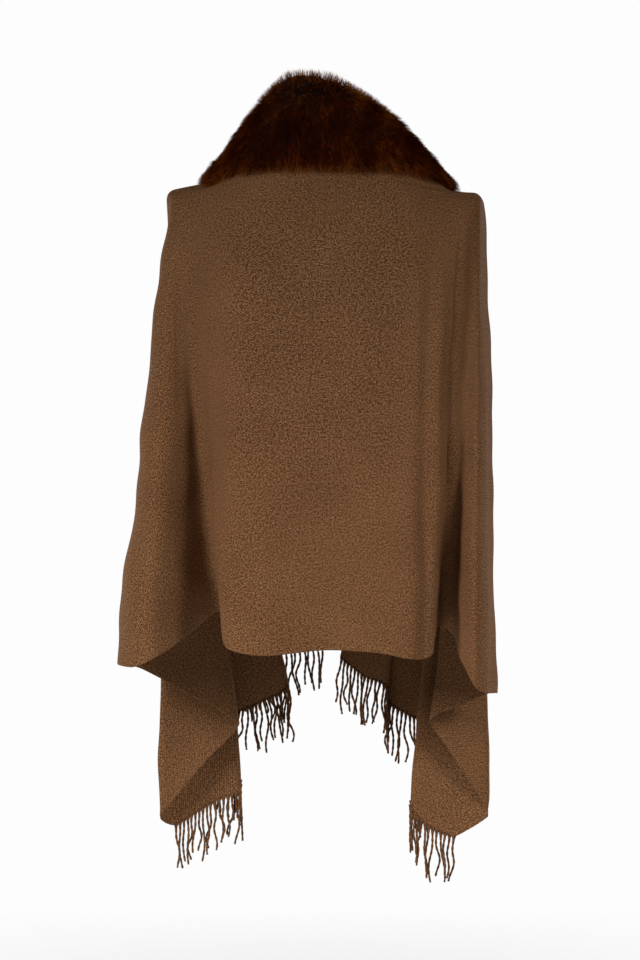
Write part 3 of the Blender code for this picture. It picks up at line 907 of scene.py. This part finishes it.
@dataclass
class FurCollar:
    """The standing collar: an underfur body and three pieces of hair pile on it."""

    drape: Drape
    finish: ShearedFur = ShearedFur()
    under: Mottled = UNDERFUR
    front_run: float = 0.42
    sections: int = 260
    ring: int = 48
    bow: float = 0.004
    fullness: float = 0.8
    pile: float = 0.0095
    hair: float = 0.0165
    hair_width: float = 0.00055
    sunk: float = 0.001
    knee: float = 0.55
    knee_width: float = 0.75
    slant: float = 0.95
    crest_lift: float = 1.25
    crest_trim: float = 0.30
    tuft_size: float = 0.017
    wisp_size: float = 0.006
    hairs: int = 66000
    crest_run: float = 0.045
    # Painted highlight on the pile along the sewn edge and along the crest: the width and strength
    # of each.
    seam_highlight_width: float = 0.014
    seam_highlight: float = 0.30
    crest_highlight_width: float = 0.034
    crest_highlight: float = 0.62
    tone: float = 0.48
    patches: float = 0.13
    streaks: float = 0.06
    mottle: float = 0.08
    seed: int = 5
    end_power: float = 14
    end_least: float = 0.04

    def body(self) -> tuple[np.ndarray, np.ndarray, np.ndarray]:
        """The underfur's rings, their outward directions and their seam-to-crest directions.

        Each section is a flat oval between the sewn edge and the crest, bowed outwards, and
        thinner than the whole collar by the pile on both faces.

        Returns:
            sections by ring by 3, sections by ring by 3, and sections by 3.
        """
        grid = self.drape.grid
        left, right = grid[:, 0], grid[:, -1]
        seam = np.concatenate([left[:0:-1], grid[0], right[1:]])
        shares = np.concatenate([-1 - lengths_along(left)[:0:-1] / self.front_run,
                                 np.linspace(-1, 1, grid.shape[1]),
                                 1 + lengths_along(right)[1:] / self.front_run])
        crests = (mirrored(LEFT_CREST, True) + [CENTRE_CREST._replace(out=-CENTRE_CREST.out)]
                  + list(RIGHT_CREST))
        reach = np.linspace(crests[0].share, crests[-1].share, self.sections)
        base = read_along(reach, shares, seam)
        crest = along(crests, reach)
        thick = np.interp(reach, [row.share for row in crests], [row.thick for row in crests])
        axis = unit(crest - base)
        width = np.linalg.norm(crest - base, axis=1) - self.pile
        half = np.maximum(thick / 2 - self.pile, 0.004)
        path = np.gradient(base + axis * width[:, None] / 2, axis=0)
        out = unit(np.cross(path, axis))
        far = np.abs(reach) / reach[-1]
        size = np.minimum(1, np.sqrt(1 - far ** self.end_power + self.end_least))[:, None, None]
        turns = np.arange(self.ring) / self.ring * 2 * math.pi
        upward = np.cos(turns)[None, :, None]
        deep = (np.sign(np.sin(turns)) * np.abs(np.sin(turns)) ** self.fullness)[None, :, None]
        middle = base + axis * width[:, None] / 2
        points = (middle[:, None] + out[:, None] * self.bow * (1 - upward ** 2)
                  + axis[:, None] * upward * width[:, None, None] / 2 * size
                  + out[:, None] * deep * half[:, None, None] * size)
        round_way = np.roll(points, -1, axis=1) - np.roll(points, 1, axis=1)
        normals = unit(np.cross(round_way, np.gradient(points, axis=0)))
        return points, normals, axis

    def build(self) -> list[Object]:
        """Builds the underfur and the pile, and puts them in place of the collar's node.

        Returns:
            The underfur and the pieces of pile.
        """
        points, normals, axis = self.body()
        vertices = np.concatenate([points.reshape(-1, 3), points[0].mean(axis=0)[None],
                                   points[-1].mean(axis=0)[None]])
        quads = grid_quads(self.sections, self.ring, closed=True)
        faces = np.concatenate([quads[:, [0, 1, 2]], quads[:, [0, 2, 3]], self.end_caps()])
        body = add_mesh("fur_collar_pelt", vertices, faces, self.under.material())
        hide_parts("fur_collar")
        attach(body, "root")
        pieces = [body]
        material = self.finish.material()
        bounds = np.linspace(0, self.sections - 1, 4).astype(int)
        for number, name in enumerate(("left", "nape", "right")):
            part = slice(bounds[number], bounds[number + 1] + 1)
            pieces.append(self.pile_piece(f"fur_pile_{name}", points[part], normals[part],
                                          axis[part], material, self.seed + number))
        return pieces

    def end_caps(self) -> np.ndarray:
        """Fans of triangles from the middle of each end to its ring.

        Returns:
            Three vertex numbers for each face.
        """
        here = np.arange(self.ring)
        after = (here + 1) % self.ring
        last = (self.sections - 1) * self.ring
        first_middle = np.full(self.ring, self.sections * self.ring)
        return np.concatenate([np.stack([first_middle, after, here], axis=1),
                               np.stack([first_middle + 1, last + here, last + after], axis=1)])

    def pile_piece(self, name: str, points: np.ndarray, normals: np.ndarray, axis: np.ndarray,
                   material: Material, seed: int) -> Object:
        """Hairs on one stretch of the underfur.

        Roots are spread evenly over its area. A hair stands up from the pelt, droops towards
        the sewn edge, less so near the crest, and slow noise gathers the pile in faint tufts. It
        is a blade of two steps that narrows to a point. Its tone carries a painted highlight along
        both edges of the collar, at the crest and at the sewn edge, where the pile is seen from the
        side.

        Args:
            name: the piece's name.
            points: rings of the stretch.
            normals: outward directions at the rings' points.
            axis: seam-to-crest direction of each ring.
            material: the pile's finish.
            seed: for the random draws.

        Returns:
            The new piece.
        """
        random = np.random.default_rng(seed)
        after = np.roll(points, -1, axis=1)
        cell = np.linalg.norm(np.cross(after[:-1] - points[:-1], points[1:] - points[:-1]), axis=-1)
        chosen = random.choice(cell.size, self.hairs, p=(cell / cell.sum()).ravel())
        row, column = np.unravel_index(chosen, cell.shape)
        beside = (column + 1) % points.shape[1]
        s, t = random.random((2, self.hairs, 1))

        def spread(values: np.ndarray) -> np.ndarray:
            """Values read inside each hair's own cell."""
            near, far = (values[k, column] * (1 - s) + values[k, beside] * s
                         for k in (row, row + 1))
            return near * (1 - t) + far * t

        root = spread(points)
        normal = unit(spread(normals))
        ahead = axis[row]
        heights = ((points - points[:, :1]) * axis[:, None]).sum(axis=2)
        to_crest = -((root - points[row, 0]) * ahead).sum(axis=1)
        to_seam = -heights.min(axis=1)[row] - to_crest
        high = 1 - ease(to_crest[:, None] / self.crest_run)
        tuft = np.stack([ripple(root, self.tuft_size, seed + 100 + k) * 0.12
                         + ripple(root, self.wisp_size, seed + 200 + k) * 0.05
                         for k in range(3)], axis=1)
        stray = random.normal(0, 0.06, (self.hairs, 3))
        lean = -ahead * (self.slant - self.crest_lift * high) + tuft + stray
        flat_lean = lean - normal * (lean * normal).sum(axis=1, keepdims=True)
        rise = unit(normal + flat_lean * 0.45)
        droop = unit(normal * 0.55 + flat_lean)
        uneven = 0.10 * ripple(root, 0.030, 7)[:, None] + random.normal(0, 0.05, (self.hairs, 1))
        length = self.hair * (1 - self.crest_trim * high) * (1 + uneven)
        bend = root + rise * length * self.knee
        tip = bend + droop * length * (1 - self.knee)
        flat = unit(np.cross(rise, random.normal(size=(self.hairs, 3))))
        wide = flat * self.hair_width / 2 * random.uniform(0.75, 1.25, (self.hairs, 1))
        start = root - normal * self.sunk
        narrow = wide * self.knee_width
        vertices = np.stack([start - wide, start + wide, bend + narrow, bend - narrow, tip],
                            axis=1).reshape(-1, 3)
        first = np.arange(self.hairs)[:, None] * 5
        faces = np.concatenate([first + [0, 1, 2], first + [0, 2, 3], first + [3, 2, 4]])
        tone = self.tone + self.patches * ripple(root, 0.045, 41)
        tone += self.streaks * ripple(root * [1.0, 1.0, 0.14], 0.006, 42)
        tone += random.normal(0, self.mottle, self.hairs)
        # Painted highlight: the hair is made lighter along the crest and along the sewn edge.
        tone += self.crest_highlight * np.exp(-(to_crest / self.crest_highlight_width) ** 2)
        tone += self.seam_highlight * np.exp(-(to_seam / self.seam_highlight_width) ** 2)
        tone = np.clip(tone, 0.12, 1.1)
        # The second UV value takes the tone, painted highlights included, to the material.
        up = np.tile([0.0, 0.0, 0.6, 0.6, 1.0], self.hairs)
        pile_uv = np.stack([up, np.repeat(tone, 5)], axis=1)
        piece = add_mesh(name, vertices, faces, material, pile_uv)
        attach(piece, "root")
        return piece


class Lamp(NamedTuple):
    """A square soft light: its place, width in metres, power in watts and spread in degrees."""

    name: str
    place: tuple[float, float, float]
    width: float
    power: float
    spread: float = 180.0


@dataclass
class Studio:
    """White room, pale floor, soft lights all round, and a camera level with the wrap's back."""

    photo_width: int = 640
    photo_height: int = 960
    metres_per_pixel: float = 0.00136
    distance: float = 4.5
    origin_column: float = 323.0
    origin_row: float = 190.0
    floor: float = -1.42
    floor_radius: float = 4.0
    sensor_mm: float = 36.0
    aim: tuple[float, float, float] = (0.0, 0.0, -1.35)
    ambient: float = 0.07
    lamps: tuple[Lamp, ...] = (
        Lamp("left_back", (-2.3, -2.3, 0.85), 1.0, 12.6, 56.0),
        Lamp("right_back", (2.5, -2.2, 0.85), 1.0, 7.2, 56.0),
        Lamp("left_front", (-2.4, 2.9, 0.1), 1.6, 62.0),
        Lamp("right_front", (2.4, 2.9, 0.1), 1.6, 62.0),
    )

    def build(self) -> None:
        """Makes the camera, the floor, the lights and the world."""
        self.camera()
        self.paper_floor()
        for lamp in self.lamps:
            self.light(lamp)
        self.room()
        bpy.context.scene.view_settings.view_transform = "Standard"

    def room(self) -> None:
        """A white surround that looks bright, and sends little light into the folds."""
        world = bpy.data.worlds.new("white_room")
        world.use_nodes = True
        tree = world.node_tree
        surround = tree.nodes["Background"]
        surround.inputs["Color"].default_value = linear("#ffffff")
        surround.inputs["Strength"].default_value = self.ambient
        seen = add_node(tree, "ShaderNodeBackground", {"Color": linear("#fdfdfd")})
        rays = add_node(tree, "ShaderNodeLightPath")
        mix = add_node(tree, "ShaderNodeMixShader", {},
                       {0: rays.outputs["Is Camera Ray"], 1: surround.outputs[0],
                        2: seen.outputs[0]})
        tree.links.new(mix.outputs[0], tree.nodes["World Output"].inputs["Surface"])
        bpy.context.scene.world = world

    def camera(self) -> None:
        """A long lens that frames the photo's width at the wrap's middle plane."""
        data = bpy.data.cameras.new("back_view")
        data.sensor_fit = "HORIZONTAL"
        data.sensor_width = self.sensor_mm
        data.lens = self.sensor_mm * self.distance / (self.photo_width * self.metres_per_pixel)
        camera = bpy.data.objects.new("back_view", data)
        column = (self.photo_width / 2 - self.origin_column) * self.metres_per_pixel
        height = (self.origin_row - self.photo_height / 2) * self.metres_per_pixel
        camera.location = (column, -self.distance, height)
        camera.rotation_euler = (math.radians(90), 0, 0)
        bpy.context.scene.collection.objects.link(camera)
        bpy.context.scene.camera = camera

    def paper_floor(self) -> None:
        """A disc of white paper on the ground, which fades out before its rim."""
        turns = np.linspace(0, 2 * math.pi, 64, endpoint=False)
        reach = np.array([0.02, 0.35, 0.7, 1.0])[:, None] * self.floor_radius
        points = np.stack([reach * np.cos(turns), reach * np.sin(turns),
                           np.full((len(reach), len(turns)), self.floor)], axis=-1)
        material, tree, shader = new_material("matt_white_paper", {
            "Base Color": linear("#fafaf9"), "Roughness": 0.95})
        place = add_node(tree, "ShaderNodeTexCoord").outputs["Object"]
        centred = add_node(tree, "ShaderNodeMapping", {"Location": (0, 0, -self.floor)},
                           {"Vector": place}).outputs["Vector"]
        far = add_node(tree, "ShaderNodeVectorMath", {"operation": "LENGTH"},
                       {0: centred}).outputs["Value"]
        fade = add_node(tree, "ShaderNodeMapRange",
                        {"interpolation_type": "SMOOTHSTEP", "From Min": 0.25 * self.floor_radius,
                         "From Max": 0.9 * self.floor_radius}, {"Value": far})
        clear = add_node(tree, "ShaderNodeBsdfTransparent")
        mix = add_node(tree, "ShaderNodeMixShader", {},
                       {0: fade.outputs[0], 1: shader.outputs[0], 2: clear.outputs[0]})
        tree.links.new(mix.outputs[0], tree.nodes["Material Output"].inputs["Surface"])
        faces = grid_quads(len(reach), len(turns), closed=True)[:, ::-1]
        floor = add_mesh("paper_floor", points.reshape(-1, 3), faces, material)

    def light(self, lamp: Lamp) -> None:
        """Hangs a soft light and turns it to the point that all lamps aim at.

        Args:
            lamp: the light.
        """
        data = bpy.data.lights.new(lamp.name, "AREA")
        data.energy, data.size = lamp.power, lamp.width
        data.spread = math.radians(lamp.spread)
        shade = bpy.data.objects.new(lamp.name, data)
        aim = np.array(self.aim) - np.array(lamp.place)
        shade.location = lamp.place
        shade.rotation_euler = (math.acos(-aim[2] / np.linalg.norm(aim)), 0,
                                math.atan2(aim[1], aim[0]) - math.pi / 2)
        bpy.context.scene.collection.objects.link(shade)


def main() -> None:
    """Builds the studio and the wrap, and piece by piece."""
    logging.basicConfig(level=logging.INFO, format="%(message)s")
    Studio().build()
    drape = Drape()
    cloth = WoolCloth(drape).build()
    fringes = [Fringe(drape, side).build() for side in Side]
    collar = FurCollar(drape).build()
    for piece in [cloth, *fringes, *collar]:
        triangles = sum(len(face.vertices) - 2 for face in piece.data.polygons)
        LOG.info("%s: %d triangles", piece.name, triangles)


if __name__ == "__main__":
    main()
